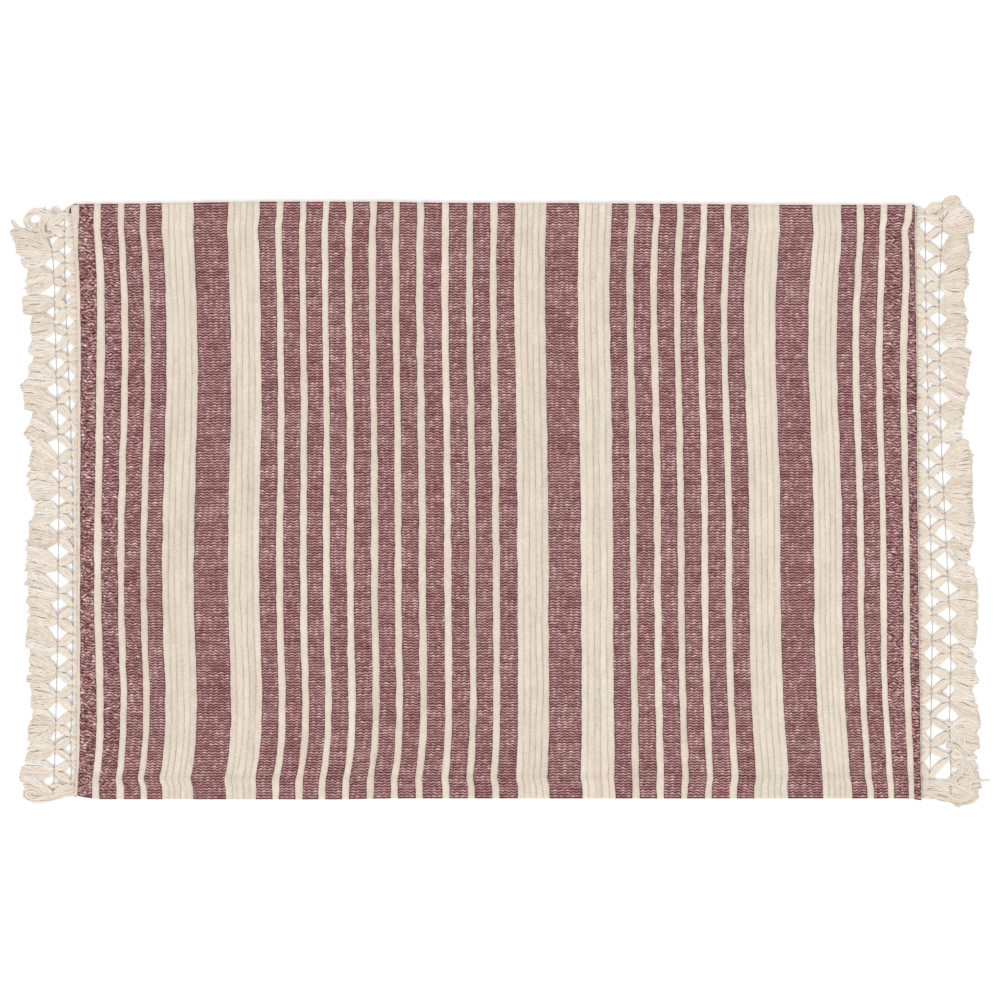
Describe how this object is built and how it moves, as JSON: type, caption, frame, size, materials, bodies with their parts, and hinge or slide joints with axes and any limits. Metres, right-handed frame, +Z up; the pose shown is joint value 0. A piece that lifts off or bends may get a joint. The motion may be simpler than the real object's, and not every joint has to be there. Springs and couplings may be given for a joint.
{
  "type": "bath mat",
  "caption": "Flat-woven rectangular cotton bath mat with burgundy and cream cross stripes, turned stitched hems along the long edges and a bound lattice fringe with tassels on each end.",
  "frame": {"origin": "middle of the underside of the whole mat, fringe included", "axes": "+X along the length across the stripes, +Y across the width along the stripes, +Z up out of the face"},
  "size_m": [0.82, 0.5, 0.0054],
  "materials": {
    "cream_weft": "matt ribbed undyed cotton weft",
    "burgundy_weft": "matt mottled burgundy and ecru weave in fine wavy rows",
    "hem_cloth": "matt striped cloth, turned under",
    "warp_yarn": "matt ecru cotton yarn",
    "fringe_yarn": "soft, loosely twisted ecru cotton yarn",
    "binder_thread": "fine twisted off-white sewing thread"
  },
  "bodies": {
    "left_half": {"left_end_picks": "cream_weft", "burgundy_bands_left_end": "burgundy_weft", "cream_ribs_left_end": "cream_weft", "wide_cream_band_1": "cream_weft", "wide_burgundy_band_1": "burgundy_weft", "wide_cream_band_2": "cream_weft", "burgundy_bands_left_field": "burgundy_weft", "cream_ribs_left_field": "cream_weft", "warp_left": "warp_yarn", "back_hem_turning_left": "hem_cloth", "front_hem_turning_left": "hem_cloth", "back_hem_stitching_left": "binder_thread", "front_hem_stitching_left": "binder_thread"},
    "right_half": {"burgundy_band_centre": "burgundy_weft", "wide_cream_band_3": "cream_weft", "wide_burgundy_band_2": "burgundy_weft", "wide_cream_band_4": "cream_weft", "burgundy_bands_right_field": "burgundy_weft", "cream_ribs_right_field": "cream_weft", "wide_cream_band_5": "cream_weft", "wide_burgundy_band_3": "burgundy_weft", "wide_cream_band_6": "cream_weft", "burgundy_bands_right_end": "burgundy_weft", "cream_ribs_right_end": "cream_weft", "right_end_picks": "cream_weft", "warp_right": "warp_yarn", "back_hem_turning_right": "hem_cloth", "front_hem_turning_right": "hem_cloth", "back_hem_stitching_right": "binder_thread", "front_hem_stitching_right": "binder_thread"},
    "left_fringe": {"left_fringe_bundles": "fringe_yarn", "left_inner_binder_thread": "binder_thread", "left_outer_binder_thread": "binder_thread", "left_tassels": "fringe_yarn"},
    "right_fringe": {"right_fringe_bundles": "fringe_yarn", "right_inner_binder_thread": "binder_thread", "right_outer_binder_thread": "binder_thread", "right_tassels": "fringe_yarn"}
  },
  "joints": [
    {"name": "centre_fold", "type": "hinge", "parent": "left_half", "child": "right_half", "pos_m": [-0.001, 0, 0.0058], "axis": [0, -1, 0], "range_deg": [0, 178]},
    {"name": "left_fringe_flop", "type": "hinge", "parent": "left_half", "child": "left_fringe", "pos_m": [-0.355, 0, 0.0048], "axis": [0, 1, 0], "range_deg": [0, 180]},
    {"name": "right_fringe_flop", "type": "hinge", "parent": "right_half", "child": "right_fringe", "pos_m": [0.3505, 0, 0.0048], "axis": [0, -1, 0], "range_deg": [0, 180]}
  ]
}
